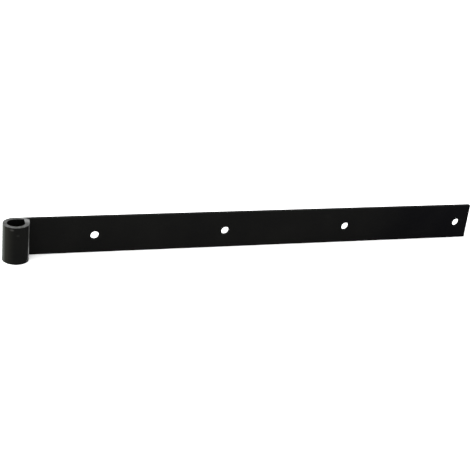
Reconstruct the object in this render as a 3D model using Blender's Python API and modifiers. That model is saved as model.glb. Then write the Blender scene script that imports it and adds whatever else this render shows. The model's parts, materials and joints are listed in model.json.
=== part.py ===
"""Strap hinge leaf: one flat steel bar whose end is rolled into an open eye for a pintle.

+X runs along the bar from the eye to the free end, +Y points out of the rear face, which lies on
the door, and +Z is up, along the axis of the eye. The origin is on that rear face, halfway up the
bar and midway along its row of bolt holes.
"""
import math

import bmesh
import bpy
from mathutils import Matrix

OBJECT_NAME = "strap_hinge"

# Flat bar, in metres
BAR_WIDTH = 0.045
BAR_THICKNESS = 0.005
OVERALL_LENGTH = 0.600
EDGE_RADIUS = 0.0006

# Rolled eye, whose tip is upset a little thicker where it meets the strap
EYE_BORE_RADIUS = 0.010
ROLL_END_GAP = 0.0005
TIP_FLARE = math.radians(7)

# Round bolt holes, in a row a little below the middle of the bar
HOLE_COUNT = 4
HOLE_PITCH = 0.159
HOLE_END_MARGIN = 0.0165
HOLE_DROP = 0.0015
HOLE_RADIUS = 0.005

# Fineness of the round stretches
ARC_STEP = math.radians(5.0)
HOLE_SEGMENTS = 48
EDGE_SEGMENTS = 2

# Mesh handling
MERGE_DISTANCE = 0.00001
FLAT_ANGLE = math.radians(0.5)
SHARP_ANGLE = math.radians(30.0)
CUTTER_DEPTH = 4.0 * BAR_THICKNESS

# Worked out from the sizes above
EYE_OUTER_RADIUS = EYE_BORE_RADIUS + BAR_THICKNESS
AXIS_TO_END = OVERALL_LENGTH - EYE_OUTER_RADIUS
HOLE_ROW_LENGTH = (HOLE_COUNT - 1) * HOLE_PITCH
EYE_AXIS_X = HOLE_END_MARGIN + HOLE_ROW_LENGTH / 2 - AXIS_TO_END
EYE_AXIS_Y = -EYE_OUTER_RADIUS

# Satin black paint
PAINT_COLOUR = (0.010, 0.010, 0.010, 1.0)
PAINT_ROUGHNESS = 0.42
PAINT_METALLIC = 0.0


def clear_scene():
    """Remove the objects that a new file starts with."""
    for thing in list(bpy.data.objects):
        bpy.data.objects.remove(thing, do_unlink=True)


def new_collection(name):
    """Add a collection to the scene."""
    collection = bpy.data.collections.new(name)
    bpy.context.scene.collection.children.link(collection)
    return collection


def paint_material():
    """Satin black paint over steel."""
    material = bpy.data.materials.new("black_paint")
    material.use_nodes = True
    shader = material.node_tree.nodes["Principled BSDF"]
    shader.inputs["Base Color"].default_value = PAINT_COLOUR
    shader.inputs["Roughness"].default_value = PAINT_ROUGHNESS
    shader.inputs["Metallic"].default_value = PAINT_METALLIC
    return material


def arc(radius, start, end):
    """Points about the eye's axis, from one angle to another."""
    steps = round(abs(end - start) / ARC_STEP)
    angles = [start + (end - start) * step / steps for step in range(steps + 1)]
    return [(radius * math.cos(angle), radius * math.sin(angle)) for angle in angles]


def bar_outline():
    """Plan of the rolled bar about the eye's axis: a loop down its front face and back up its rear."""
    back = math.radians(90)
    right = math.radians(360)
    roll_end = EYE_BORE_RADIUS - ROLL_END_GAP
    flare_x = EYE_OUTER_RADIUS * math.cos(TIP_FLARE)
    flare_y = -EYE_OUTER_RADIUS * math.sin(TIP_FLARE)
    tip_x = flare_x + (roll_end - flare_y) * math.tan(TIP_FLARE)
    front_corner = [(AXIS_TO_END, EYE_BORE_RADIUS)]
    bore = arc(EYE_BORE_RADIUS, back, right)
    end_face = [(EYE_BORE_RADIUS, roll_end), (tip_x, roll_end)]
    outside = arc(EYE_OUTER_RADIUS, right - TIP_FLARE, back)
    rear_corner = [(AXIS_TO_END, EYE_OUTER_RADIUS)]
    return front_corner + bore + end_face + outside + rear_corner


def outline_curve(points):
    """A flat outline, filled and given the width of the bar along Z."""
    curve = bpy.data.curves.new("bar_outline", "CURVE")
    curve.dimensions = "2D"
    curve.fill_mode = "BOTH"
    curve.extrude = BAR_WIDTH / 2
    spline = curve.splines.new("POLY")
    spline.points.add(len(points) - 1)
    for point, (x, y) in zip(spline.points, points):
        point.co = (x, y, 0.0, 1.0)
    spline.use_cyclic_u = True
    return bpy.data.objects.new("bar_outline", curve)


def mesh_from_curve(curve_object, name):
    """Turn an extruded outline into one closed mesh with whole flat faces."""
    bpy.context.view_layer.update()
    depsgraph = bpy.context.evaluated_depsgraph_get()
    mesh = bpy.data.meshes.new_from_object(curve_object.evaluated_get(depsgraph))
    mesh.name = name
    shape = bmesh.new()
    shape.from_mesh(mesh)
    bmesh.ops.remove_doubles(shape, verts=shape.verts, dist=MERGE_DISTANCE)
    bmesh.ops.dissolve_limit(shape, angle_limit=FLAT_ANGLE, verts=shape.verts, edges=shape.edges)
    bmesh.ops.recalc_face_normals(shape, faces=shape.faces)
    shape.to_mesh(mesh)
    shape.free()
    return mesh


def rolled_bar(collection):
    """The bar with its eye, before the holes are punched."""
    outline = outline_curve(bar_outline())
    outline.location = (EYE_AXIS_X, EYE_AXIS_Y, 0.0)
    collection.objects.link(outline)
    mesh = mesh_from_curve(outline, "strap")
    strap = bpy.data.objects.new("strap", mesh)
    strap.matrix_world = outline.matrix_world
    collection.objects.link(strap)
    bpy.data.objects.remove(outline, do_unlink=True)
    return strap


def hole_cutter(collection, number, x):
    """A round punch, pushed through the strap along Y."""
    shape = bmesh.new()
    along_y = Matrix.Rotation(math.radians(90), 4, "X")
    bmesh.ops.create_cone(shape, cap_ends=True, segments=HOLE_SEGMENTS, radius1=HOLE_RADIUS,
                          radius2=HOLE_RADIUS, depth=CUTTER_DEPTH, matrix=along_y)
    mesh = bpy.data.meshes.new(f"bolt_hole_cutter_{number}")
    shape.to_mesh(mesh)
    shape.free()
    cutter = bpy.data.objects.new(mesh.name, mesh)
    cutter.location = (x, -BAR_THICKNESS / 2, -HOLE_DROP)
    cutter.hide_render = True
    cutter.display_type = "WIRE"
    collection.objects.link(cutter)
    return cutter


def punch_holes(strap, collection):
    """Cut the row of round bolt holes."""
    for number in range(1, HOLE_COUNT + 1):
        x = (number - 1) * HOLE_PITCH - HOLE_ROW_LENGTH / 2
        cut = strap.modifiers.new(f"bolt_hole_{number}", "BOOLEAN")
        cut.operation = "DIFFERENCE"
        cut.solver = "EXACT"
        cut.object = hole_cutter(collection, number, x)


def round_edges(strap):
    """Ease every sharp edge of the bar, its eye and its holes."""
    bevel = strap.modifiers.new("eased_edges", "BEVEL")
    bevel.limit_method = "ANGLE"
    bevel.angle_limit = SHARP_ANGLE
    bevel.width = EDGE_RADIUS
    bevel.segments = EDGE_SEGMENTS
    bevel.use_clamp_overlap = False
    strap.data.shade_smooth()
    strap.data.set_sharp_from_angle(angle=SHARP_ANGLE)


def main():
    clear_scene()
    hinge = new_collection(OBJECT_NAME)
    cutters = new_collection("cutters")
    strap = rolled_bar(hinge)
    punch_holes(strap, cutters)
    round_edges(strap)
    strap.data.materials.append(paint_material())


main()
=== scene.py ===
"""Looks of the strap hinge: a finely swept steel bar in satin black paint, in a white studio."""

import json
import math

import bmesh
import bpy
from mathutils import Matrix, Vector, noise


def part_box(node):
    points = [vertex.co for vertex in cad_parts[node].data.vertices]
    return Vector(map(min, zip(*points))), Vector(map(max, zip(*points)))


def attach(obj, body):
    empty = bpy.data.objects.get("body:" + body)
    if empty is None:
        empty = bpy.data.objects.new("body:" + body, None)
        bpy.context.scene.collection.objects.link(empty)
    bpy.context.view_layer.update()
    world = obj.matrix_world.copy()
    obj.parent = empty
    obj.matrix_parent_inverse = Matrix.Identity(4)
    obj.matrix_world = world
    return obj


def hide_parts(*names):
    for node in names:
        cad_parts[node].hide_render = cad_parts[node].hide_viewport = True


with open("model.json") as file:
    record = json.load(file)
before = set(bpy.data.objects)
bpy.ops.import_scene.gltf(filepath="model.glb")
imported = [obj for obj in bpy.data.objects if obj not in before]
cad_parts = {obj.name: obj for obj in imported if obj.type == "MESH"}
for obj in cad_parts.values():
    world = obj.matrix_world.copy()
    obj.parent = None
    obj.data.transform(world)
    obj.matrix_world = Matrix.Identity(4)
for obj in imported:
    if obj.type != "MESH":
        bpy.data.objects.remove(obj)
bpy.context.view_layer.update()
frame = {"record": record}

# Sizes read from the frame, in metres
record = frame["record"]
strap_low, strap_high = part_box("strap")
mounts = {mount["name"]: Vector(mount["pos_m"]) for mount in record["mounts"]}
openings = {opening["name"]: opening["box_m"] for opening in record["physics"]["openings"]}

BAR_WIDTH = strap_high.z - strap_low.z
EYE_OUTER_RADIUS = (strap_high.y - strap_low.y) / 2
EYE_AXIS = Vector((strap_low.x + EYE_OUTER_RADIUS, strap_high.y - EYE_OUTER_RADIUS, 0.0))
WALL_MIDDLE_RADIUS = EYE_AXIS.y - mounts["eye_upper_face"].y
BAR_THICKNESS = 2 * (EYE_OUTER_RADIUS - WALL_MIDDLE_RADIUS)
EYE_BORE_RADIUS = EYE_OUTER_RADIUS - BAR_THICKNESS
AXIS_TO_END = strap_high.x - EYE_AXIS.x

# Details finer than the frame holds, in metres
ROLL_END_GAP = 0.0005
TIP_FLARE = math.radians(7)
CORNER_RADIUS = 0.00045
SHEARED_END_RADIUS = 0.0004
HOLE_RADIUS = 0.005
HOLE_RIM_RADIUS = 0.0006

# Spacing of the mesh
ROLL_END_STEPS = 9
ARC_STEPS = 108
STRAIGHT_STEPS = 117
WIDTH_STEPS = 44
THICKNESS_STEPS = 4
CORNER_STEPS = 5
END_STEPS = 4
HOLE_STEPS = 72
RIM_STEPS = 4
RIM_SWEEP = math.radians(72)
CUTTER_OVERSHOOT = 0.0005
SHARP_ANGLE = math.radians(40)

# Rolling leaves the thickness a little uneven
THICKNESS_LOSS = 0.015
WAVES_PER_METRE = 60.0

# Two dents on the front of the eye: angle about its axis, height, radius, depth, strength of the
# painted highlight in them
EYE_DENTS = (
    (math.radians(245), 0.0195, 0.0034, 0.00030, 0.55),
    (math.radians(272), 0.0130, 0.0026, 0.00015, 0.16),
)
DENT_FLATTENING = 2.0


# ---------------------------------------------------------------- shapes

def direction(angle):
    """Unit vector at an angle about the axis of the eye."""
    return Vector((math.cos(angle), math.sin(angle), 0))


# Where the rolled bar stops, and where its outer side starts to flare, from the axis of the eye
ROLL_END = EYE_BORE_RADIUS - ROLL_END_GAP
FLARE_START = direction(-TIP_FLARE) * EYE_OUTER_RADIUS
TIP_CORNER = Vector((FLARE_START.x + (ROLL_END - FLARE_START.y) * math.tan(TIP_FLARE), ROLL_END, 0))


def rounded_rectangle(width, height, radius, corner_steps, width_steps, height_steps):
    """Points round a rectangle with rounded corners, anticlockwise from its lower right corner."""
    across, up = width / 2 - radius, height / 2 - radius
    centres = [(across, -up), (across, up), (-across, up), (-across, -up)]
    points = []
    for side, (x, y) in enumerate(centres):
        for step in range(corner_steps + 1):
            angle = math.radians(90) * (side - 1 + step / corner_steps)
            points.append((x + radius * math.cos(angle), y + radius * math.sin(angle)))
        next_x, next_y = centres[(side + 1) % 4]
        steps = height_steps if side % 2 == 0 else width_steps
        start_x, start_y = points[-1]
        for step in range(1, steps):
            share = step / steps
            points.append((start_x + (next_x - x) * share, start_y + (next_y - y) * share))
    return points


def loft(name, loops):
    """A closed body through a row of loops with equal numbers of points, capped at both ends."""
    shape = bmesh.new()
    rows = [[shape.verts.new(point) for point in loop] for loop in loops]
    count = len(rows[0])
    for near, far in zip(rows, rows[1:]):
        for i in range(count):
            j = (i + 1) % count
            shape.faces.new((near[i], near[j], far[j], far[i]))
    shape.faces.new(rows[0])
    shape.faces.new(rows[-1])
    bmesh.ops.recalc_face_normals(shape, faces=shape.faces)
    mesh = bpy.data.meshes.new(name)
    shape.to_mesh(mesh)
    shape.free()
    piece = bpy.data.objects.new(name, mesh)
    bpy.context.scene.collection.objects.link(piece)
    return piece


def end_stations(place, inward, normal):
    """Stations that round the edge of a sheared end, from its end face inwards."""
    stations = []
    for step in range(END_STEPS + 1):
        angle = math.radians(90) * step / END_STEPS
        distance = SHEARED_END_RADIUS * (1 - math.cos(angle))
        inset = SHEARED_END_RADIUS * (1 - math.sin(angle))
        stations.append((place + inward * distance, normal, inset))
    return stations


def bar_stations():
    """Place, outward normal and inset of each station, from the rolled end to the free end."""
    along_x, along_y = Vector((1, 0, 0)), Vector((0, 1, 0))
    stations = end_stations(Vector((WALL_MIDDLE_RADIUS, ROLL_END, 0)), -along_y, along_x)
    for step in range(1, ROLL_END_STEPS):
        y = ROLL_END * (1 - step / ROLL_END_STEPS)
        stations.append((Vector((WALL_MIDDLE_RADIUS, y, 0)), along_x, 0.0))
    for step in range(ARC_STEPS):
        normal = direction(-math.radians(270) * step / ARC_STEPS)
        stations.append((normal * WALL_MIDDLE_RADIUS, normal, 0.0))
    for step in range(STRAIGHT_STEPS):
        x = AXIS_TO_END * step / STRAIGHT_STEPS
        stations.append((Vector((x, WALL_MIDDLE_RADIUS, 0)), along_y, 0.0))
    free_end = end_stations(Vector((AXIS_TO_END, WALL_MIDDLE_RADIUS, 0)), -along_x, along_y)
    return stations + free_end[::-1]


def tip_spread(place, y):
    """How much further out the outer side of the rolled tip lies at a depth y from the eye's axis."""
    on_tip = place.x > 0 and place.y < EYE_BORE_RADIUS
    if not on_tip or y < FLARE_START.y:
        return 0.0
    round_x = math.sqrt(EYE_OUTER_RADIUS ** 2 - min(y, 0.0) ** 2)
    return FLARE_START.x + (y - FLARE_START.y) * math.tan(TIP_FLARE) - round_x


def dent_depth(place):
    """How far the surface of the eye is knocked in at a place given from the eye's axis."""
    depth = 0.0
    for angle, height, radius, deepest, _ in EYE_DENTS:
        apart = place - direction(angle) * EYE_OUTER_RADIUS - Vector((0, 0, height))
        apart.z *= DENT_FLATTENING
        depth += deepest * math.exp(-(apart.length / radius) ** 2)
    return depth


def bar_loop(place, normal, inset):
    """Cross-section of the bar at one station, with the small unevenness that rolling leaves."""
    section = rounded_rectangle(BAR_THICKNESS - 2 * inset, BAR_WIDTH - 2 * inset, CORNER_RADIUS - inset,
                                CORNER_STEPS, THICKNESS_STEPS, WIDTH_STEPS)
    loop = []
    for out, up in section:
        point = place + normal * out + Vector((0, 0, up))
        loss = THICKNESS_LOSS * (0.5 + 0.5 * noise.noise(point * WAVES_PER_METRE))
        point -= normal * out * loss
        point.x += tip_spread(place, point.y) * (out / BAR_THICKNESS + 0.5)
        if out > 0:
            point -= normal * dent_depth(point)
        loop.append(EYE_AXIS + point)
    return loop


def hole_cutter(number, x, z):
    """A round punch, flared where it meets the two faces of the strap."""
    front, rear = strap_high.y - BAR_THICKNESS, strap_high.y
    arc = []
    for step in range(RIM_STEPS + 1):
        angle = RIM_SWEEP * step / RIM_STEPS
        arc.append((HOLE_RIM_RADIUS * (1 - math.cos(angle)), HOLE_RIM_RADIUS * (1 - math.sin(angle))))
    flare, depth = arc[-1]
    overshoot = depth + CUTTER_OVERSHOOT
    arc.append((flare + overshoot * math.tan(RIM_SWEEP), -CUTTER_OVERSHOOT))
    profile = [(grow, front + depth) for grow, depth in reversed(arc)]
    profile += [(grow, rear - depth) for grow, depth in arc]
    turns = [math.radians(360) * step / HOLE_STEPS for step in range(HOLE_STEPS)]
    loops = []
    for grow, y in profile:
        radius = HOLE_RADIUS + grow
        round_hole = [(x + radius * math.cos(turn), z + radius * math.sin(turn)) for turn in turns]
        loops.append([Vector((hole_x, y, hole_z)) for hole_x, hole_z in round_hole])
    return loft(f"bolt_hole_cutter_{number}", loops)


def bolt_hole_centres():
    """Places of the bolt holes along and up the strap."""
    boxes = [box for name, box in openings.items() if name.startswith("bolt_hole")]
    return [((low[0] + high[0]) / 2, (low[2] + high[2]) / 2) for low, high in boxes]


def settle_modifiers(piece):
    """Keep the shape that a piece's modifiers give it, and drop the modifiers."""
    depsgraph = bpy.context.evaluated_depsgraph_get()
    mesh = bpy.data.meshes.new_from_object(piece.evaluated_get(depsgraph))
    piece.modifiers.clear()
    piece.data = mesh


def painted_strap():
    """The whole bar: rolled eye, flat strap and punched holes."""
    strap = loft("painted_strap", [bar_loop(*station) for station in bar_stations()])
    centres = bolt_hole_centres()
    cutters = [hole_cutter(number, x, z) for number, (x, z) in enumerate(centres, 1)]
    for cutter in cutters:
        cut = strap.modifiers.new(cutter.name, "BOOLEAN")
        cut.solver = "EXACT"
        cut.object = cutter
    settle_modifiers(strap)
    for cutter in cutters:
        bpy.data.objects.remove(cutter, do_unlink=True)
    strap.data.shade_smooth()
    strap.data.set_sharp_from_angle(angle=SHARP_ANGLE)
    weighted = strap.modifiers.new("flat_faces_stay_flat", "WEIGHTED_NORMAL")
    weighted.keep_sharp = True
    return strap


# ---------------------------------------------------------------- materials

class NodeMaker:
    """Short calls for the node tree of one material."""

    def __init__(self, name):
        self.material = bpy.data.materials.new(name)
        self.material.use_nodes = True
        self.tree = self.material.node_tree
        self.shader = self.tree.nodes["Principled BSDF"]

    def put(self, socket, value):
        if isinstance(value, bpy.types.NodeSocket):
            self.tree.links.new(value, socket)
        else:
            socket.default_value = value

    def node(self, kind, inputs=None, **settings):
        made = self.tree.nodes.new("ShaderNode" + kind)
        for name, value in settings.items():
            setattr(made, name, value)
        for name, value in (inputs or {}).items():
            self.put(made.inputs[name], value)
        return made

    def math(self, operation, *values, clamp=False):
        made = self.node("Math", operation=operation, use_clamp=clamp)
        for socket, value in zip(made.inputs, values):
            self.put(socket, value)
        return made.outputs[0]

    def noise(self, place, scale, detail=3.0, roughness=0.5):
        inputs = {"Vector": place, "Scale": scale, "Detail": detail, "Roughness": roughness}
        return self.node("TexNoise", inputs).outputs["Fac"]

    def ramp(self, value, low, high, to_low=0.0, to_high=1.0):
        inputs = {"Value": value, "From Min": low, "From Max": high}
        inputs.update({"To Min": to_low, "To Max": to_high})
        return self.node("MapRange", inputs, interpolation_type="SMOOTHSTEP").outputs["Result"]

    def mix(self, factor, first, second):
        made = self.node("Mix", data_type="RGBA")
        self.put(made.inputs["Factor"], factor)
        self.put(made.inputs["A"], first)
        self.put(made.inputs["B"], second)
        return made.outputs["Result"]

    def distance(self, place, middle):
        made = self.node("VectorMath", operation="DISTANCE")
        self.put(made.inputs[0], place)
        self.put(made.inputs[1], middle)
        return made.outputs["Value"]


# Colours of the paint, of the places where it is worn, and of the painted light and shade on it
PAINT_BLACK = (0.0009, 0.0009, 0.0013, 1.0)
# The paler paint, which also carries the painted light towards the eye
PAINT_OLIVE_AND_PAINTED_LIGHT = (0.0035, 0.0035, 0.0032, 1.0)
SCUFF_GREY = (0.012, 0.012, 0.0114, 1.0)
WORN_EDGE_GREY = (0.012, 0.012, 0.0108, 1.0)
# Painted highlight in the dents of the eye
DENT_PAINTED_HIGHLIGHT = (0.038, 0.038, 0.0355, 1.0)
# Painted light on the left flank of the eye, lightest at its edge
FLANK_PAINTED_LIGHT_OLIVE = (0.0073, 0.0072, 0.0059, 1.0)
FLANK_PAINTED_HIGHLIGHT_GREY = (0.0355, 0.0376, 0.0352, 1.0)
# Painted highlight down the right side of the eye
PAINTED_HIGHLIGHT_GREY = (0.200, 0.200, 0.198, 1.0)
# Painted shade inside the bore
BORE_PAINTED_SHADE = (0.0020, 0.0021, 0.0020, 1.0)
RIM_STEEL_DARK = (0.0355, 0.0364, 0.0343, 1.0)
RIM_STEEL_LIGHT = (0.064, 0.064, 0.065, 1.0)
RIM_STEEL_TIP = (0.111, 0.111, 0.111, 1.0)

# Noise scales, per metre
TONE_SCALE = 14.0
SCUFF_SCALE = 30.0
PAINTED_HIGHLIGHT_SCALE = 180.0
PEEL_SCALE = 260.0
MOTTLE_SCALE = 330.0
WORN_EDGE_SCALE = 420.0
STREAK_SCALE = 700.0
GRAIN_SCALE = 1400.0

# Gloss and fine relief of the paint
SMOOTHEST = 0.50
ROUGHEST = 0.62
SCUFF_ROUGHENING = 0.12
SPECULAR_LEVEL = 0.013
RELIEF_STRENGTH = 0.6
RELIEF_HEIGHT = 0.00006

# How far the worn rims, and the painted light on the left flank of the eye, reach, in metres
RIM_DEPTH = 0.0005
RIM_FADE = 0.004
TIP_REACH = 0.014
FLANK_START = -0.002
FLANK_EDGE = -0.0122

# The painted shade in the bore and in its corner behind the rolled tip, in metres from the eye's axis
BORE_FADE = 0.0004
BORE_CORNER = Vector((0.007, 0.005, 0))
BORE_CORNER_REACH = 0.0068

# The painted highlight down the eye on the side of the strap: angle, reach, heights and strengths there
PAINTED_HIGHLIGHT_ANGLE = math.radians(335)
PAINTED_HIGHLIGHT_REACH = 0.0021
PAINTED_HIGHLIGHT_HEIGHTS = (0.010, -0.021)
PAINTED_HIGHLIGHT_STRENGTHS = (0.22, 1.0)


def paint_scuffs_and_painted_light(make, place, along):
    """Black paint, made paler towards the eye by painted light, and worn along its edges; also returns
    its scuffs.
    """
    patchy = make.ramp(make.noise(place, TONE_SCALE, 4.0, 0.6), 0.35, 0.68, -0.15, 0.15)
    # Painted light: the strap is made paler towards the eye, as if more light fell there
    painted_light_towards_eye = make.ramp(along, strap_high.x, 0.0, 0.1, 0.85)
    tone = make.math("ADD", painted_light_towards_eye, patchy, clamp=True)
    colour = make.mix(tone, PAINT_BLACK, PAINT_OLIVE_AND_PAINTED_LIGHT)

    stretched = make.node("Mapping", {"Vector": place, "Scale": (0.08, 1.0, 1.0)}).outputs[0]
    streak = make.ramp(make.noise(stretched, STREAK_SCALE, 3.0, 0.6), 0.64, 0.78)
    scuff = make.math("MULTIPLY", streak, make.ramp(make.noise(place, SCUFF_SCALE, 2.0), 0.50, 0.70))
    colour = make.mix(make.math("MULTIPLY", scuff, 0.5), colour, SCUFF_GREY)

    pointed = make.node("NewGeometry").outputs["Pointiness"]
    broken = make.ramp(make.noise(place, WORN_EDGE_SCALE, 4.0, 0.65), 0.40, 0.62)
    edge = make.math("MULTIPLY", make.ramp(pointed, 0.52, 0.60), broken)
    return make.mix(make.math("MULTIPLY", edge, 0.6), colour, WORN_EDGE_GREY), scuff


def painted_highlight_in_dents(make, colour, place):
    """Painted highlight: grey in the two dents on the front of the eye."""
    squashed = make.node("Mapping", {"Vector": place, "Scale": (1.0, 1.0, DENT_FLATTENING)}).outputs[0]
    for angle, up, radius, _, strength in EYE_DENTS:
        middle = EYE_AXIS + direction(angle) * EYE_OUTER_RADIUS + Vector((0, 0, DENT_FLATTENING * up))
        highlight_mask = make.ramp(make.distance(squashed, middle), radius, 0.2 * radius)
        colour = make.mix(make.math("MULTIPLY", highlight_mask, strength), colour, DENT_PAINTED_HIGHLIGHT)
    return colour


def painted_light_on_flanks(make, colour, place, flat_place, along, up):
    """Painted light on the eye: a lighter left flank, and a painted highlight down its right one,
    stronger lower down.
    """
    eye_x = make.math("SUBTRACT", along, EYE_AXIS.x)
    # Painted light: the left flank of the eye is made lighter, most at its edge
    colour = make.mix(make.ramp(eye_x, FLANK_START, -EYE_OUTER_RADIUS), colour, FLANK_PAINTED_LIGHT_OLIVE)
    colour = make.mix(make.ramp(eye_x, FLANK_EDGE, -EYE_OUTER_RADIUS), colour, FLANK_PAINTED_HIGHLIGHT_GREY)

    # Painted highlight: a grey line down the right side of the eye, stronger lower down, in patches
    highlight_line = EYE_AXIS + direction(PAINTED_HIGHLIGHT_ANGLE) * EYE_OUTER_RADIUS
    beside = make.ramp(make.distance(flat_place, highlight_line), PAINTED_HIGHLIGHT_REACH, 0.3 * PAINTED_HIGHLIGHT_REACH)
    lower = make.ramp(up, *PAINTED_HIGHLIGHT_HEIGHTS, *PAINTED_HIGHLIGHT_STRENGTHS)
    patches = make.ramp(make.noise(place, PAINTED_HIGHLIGHT_SCALE, 3.0, 0.6), 0.30, 0.60, 0.65, 1.0)
    highlight_mask = make.math("MULTIPLY", make.math("MULTIPLY", beside, lower), patches)
    return make.mix(highlight_mask, colour, PAINTED_HIGHLIGHT_GREY)


def painted_shade_in_bore(make, colour, flat_place, from_axis):
    """Painted shade: a darker colour inside the bore."""
    round_part = make.ramp(from_axis, EYE_BORE_RADIUS + BORE_FADE, EYE_BORE_RADIUS)
    from_corner = make.distance(flat_place, EYE_AXIS + BORE_CORNER)
    corner_part = make.ramp(from_corner, BORE_CORNER_REACH + BORE_FADE, BORE_CORNER_REACH)
    return make.mix(make.math("MAXIMUM", round_part, corner_part), colour, BORE_PAINTED_SHADE)


def bare_rims(make, colour, place, flat_place, from_axis, height):
    """Bare steel on the two end faces of the eye, lightest at the rolled tip."""
    near_rim = make.ramp(height, BAR_WIDTH / 2 - RIM_DEPTH, BAR_WIDTH / 2 - 0.2 * RIM_DEPTH)
    on_eye = make.ramp(from_axis, EYE_OUTER_RADIUS + RIM_FADE, EYE_OUTER_RADIUS)
    mottle = make.ramp(make.noise(place, MOTTLE_SCALE, 4.0, 0.7), 0.36, 0.66)
    steel = make.mix(mottle, RIM_STEEL_DARK, RIM_STEEL_LIGHT)
    from_tip = make.distance(flat_place, EYE_AXIS + TIP_CORNER)
    steel = make.mix(make.ramp(from_tip, TIP_REACH, 0.4 * TIP_REACH), steel, RIM_STEEL_TIP)
    return make.mix(make.math("MULTIPLY", near_rim, on_eye), colour, steel)


def satin_black_paint():
    """Thin satin black paint, worn along its edges and down to grey steel on the rims of the eye, with
    painted light on the eye and painted shade in its bore.
    """
    make = NodeMaker("satin_black_paint")
    place = make.node("TexCoord").outputs["Object"]
    split = make.node("SeparateXYZ", {"Vector": place})
    along, across, up = (split.outputs[name] for name in "XYZ")
    flat_place = make.node("CombineXYZ", {"X": along, "Y": across}).outputs[0]
    from_axis = make.distance(flat_place, EYE_AXIS)

    colour, scuff = paint_scuffs_and_painted_light(make, place, along)
    colour = painted_highlight_in_dents(make, colour, place)
    colour = painted_light_on_flanks(make, colour, place, flat_place, along, up)
    colour = painted_shade_in_bore(make, colour, flat_place, from_axis)
    colour = bare_rims(make, colour, place, flat_place, from_axis, make.math("ABSOLUTE", up))

    grain = make.noise(place, GRAIN_SCALE, 2.0)
    peel = make.noise(place, PEEL_SCALE, 2.0)
    gloss = make.ramp(grain, 0.3, 0.7, SMOOTHEST, ROUGHEST)
    gloss = make.math("ADD", gloss, make.math("MULTIPLY", scuff, SCUFF_ROUGHENING))
    relief = make.math("ADD", make.math("MULTIPLY", peel, 0.7), make.math("MULTIPLY", grain, 0.3))
    bump_inputs = {"Height": relief, "Strength": RELIEF_STRENGTH, "Distance": RELIEF_HEIGHT}
    bump = make.node("Bump", bump_inputs).outputs[0]

    make.put(make.shader.inputs["Base Color"], colour)
    make.put(make.shader.inputs["Roughness"], gloss)
    make.put(make.shader.inputs["Normal"], bump)
    make.shader.inputs["Specular IOR Level"].default_value = SPECULAR_LEVEL
    return make.material


PAPER_DARK = (0.90, 0.90, 0.90, 1.0)
PAPER_LIGHT = (0.93, 0.93, 0.93, 1.0)
PAPER_ROUGHNESS = 0.9
PAPER_SCALE = 300.0


def floor_material():
    """Pale matt studio paper."""
    make = NodeMaker("studio_paper")
    fibre = make.noise(make.node("TexCoord").outputs["Object"], PAPER_SCALE, 3.0)
    make.put(make.shader.inputs["Base Color"], make.mix(fibre, PAPER_DARK, PAPER_LIGHT))
    make.shader.inputs["Roughness"].default_value = PAPER_ROUGHNESS
    make.shader.inputs["Specular IOR Level"].default_value = 0.0
    return make.material


# ---------------------------------------------------------------- studio

FLOOR_SIZE = 24.0
STUDIO_WHITE = (1.0, 1.0, 1.0, 1.0)
STUDIO_LEVEL = 2.3

SOFTBOX_PLACE = Vector((-0.75, 0.12, 0.16))
SOFTBOX_TARGET = Vector((-0.42, 0.03, strap_low.z))
SOFTBOX_WIDTH = 0.3
SOFTBOX_HEIGHT = 0.2
SOFTBOX_WATTS = 4.2
SOFTBOX_COLOUR = (0.94, 1.0, 0.95)

CAMERA_AIM = Vector((-0.0666, -0.005, -0.0074))
CAMERA_AZIMUTH = math.radians(-20.7)
CAMERA_ELEVATION = math.radians(23.8)
CAMERA_ROLL = math.radians(6.5)
CAMERA_DISTANCE = 1.2306
CAMERA_LENS = 77.66
SENSOR_WIDTH = 36.0


def add_floor():
    """A plain pale floor under the strap's lower edge."""
    bpy.ops.mesh.primitive_plane_add(size=FLOOR_SIZE, location=(0, 0, strap_low.z))
    floor = bpy.context.object
    floor.name = "floor"
    floor.data.materials.append(floor_material())


def add_world():
    """Even white light from all round."""
    world = bpy.data.worlds.new("white_studio")
    world.use_nodes = True
    world.node_tree.nodes["Background"].inputs["Color"].default_value = STUDIO_WHITE
    world.node_tree.nodes["Background"].inputs["Strength"].default_value = STUDIO_LEVEL
    bpy.context.scene.world = world
    bpy.context.scene.view_settings.view_transform = "Standard"


def add_softbox():
    """A small soft light to the left of the eye and a little behind it, for its flank."""
    light = bpy.data.lights.new("left_softbox", "AREA")
    light.shape = "RECTANGLE"
    light.size = SOFTBOX_WIDTH
    light.size_y = SOFTBOX_HEIGHT
    light.energy = SOFTBOX_WATTS
    light.color = SOFTBOX_COLOUR
    lamp = bpy.data.objects.new(light.name, light)
    lamp.location = SOFTBOX_PLACE
    lamp.rotation_euler = (SOFTBOX_TARGET - SOFTBOX_PLACE).to_track_quat("-Z", "Y").to_euler()
    bpy.context.scene.collection.objects.link(lamp)


def add_camera():
    """A camera at the front left, looking down along the strap, rolled a little to its left."""
    back = direction(CAMERA_AZIMUTH - math.radians(90)) * math.cos(CAMERA_ELEVATION)
    back.z = math.sin(CAMERA_ELEVATION)
    level = Vector((0, 0, 1)).cross(back).normalized()
    upright = back.cross(level)
    right = level * math.cos(CAMERA_ROLL) + upright * math.sin(CAMERA_ROLL)
    up = upright * math.cos(CAMERA_ROLL) - level * math.sin(CAMERA_ROLL)
    data = bpy.data.cameras.new("camera")
    data.lens = CAMERA_LENS
    data.sensor_width = SENSOR_WIDTH
    camera = bpy.data.objects.new("camera", data)
    camera.location = CAMERA_AIM + back * CAMERA_DISTANCE
    camera.rotation_euler = Matrix((right, up, back)).transposed().to_euler()
    bpy.context.scene.collection.objects.link(camera)
    bpy.context.scene.camera = camera


add_camera()
add_world()
add_floor()
add_softbox()

strap = painted_strap()
strap.data.materials.clear()
strap.data.materials.append(satin_black_paint())
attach(strap, "root")
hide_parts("strap")
